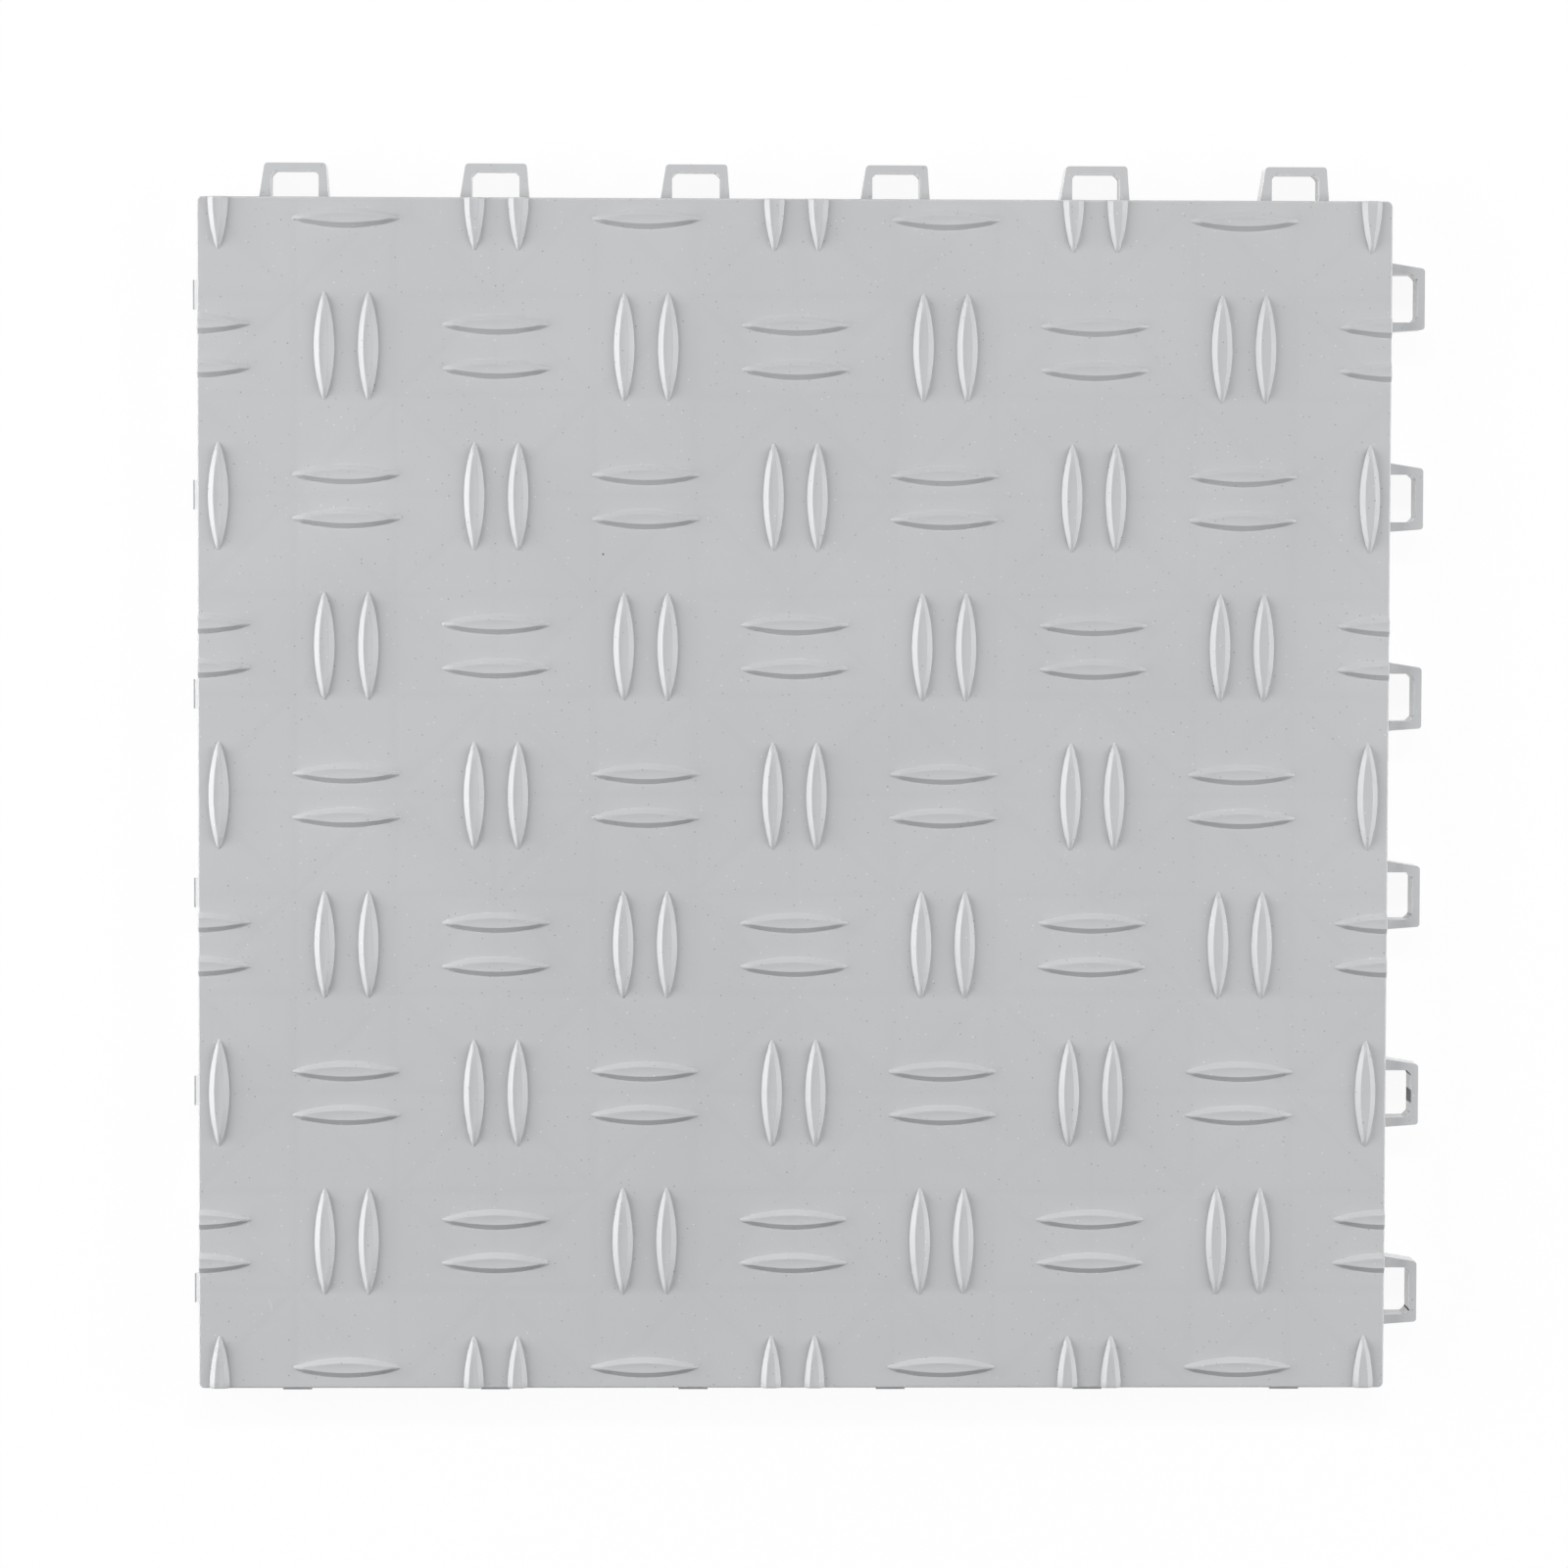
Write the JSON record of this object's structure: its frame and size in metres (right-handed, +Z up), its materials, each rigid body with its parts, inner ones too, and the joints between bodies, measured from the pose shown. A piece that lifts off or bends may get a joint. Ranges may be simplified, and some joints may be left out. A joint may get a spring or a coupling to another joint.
{
  "type": "interlocking floor tile",
  "caption": "Square interlocking garage floor tile with a raised bar tread, open loops on two edges, snap pegs on the other two, and a ribbed underside on feet.",
  "frame": {"origin": "middle of the square body on the floor plane, at the foot of the centre post", "axes": "+Z up out of the tread; +X and +Y point out of the two edges that carry the loops"},
  "size_m": [0.3147, 0.3147, 0.0127],
  "materials": {
    "tile_plastic": "satin moulded polypropylene, light grey"
  },
  "bodies": {
    "root": {"floor_tile": "tile_plastic"}
  },
  "joints": []
}
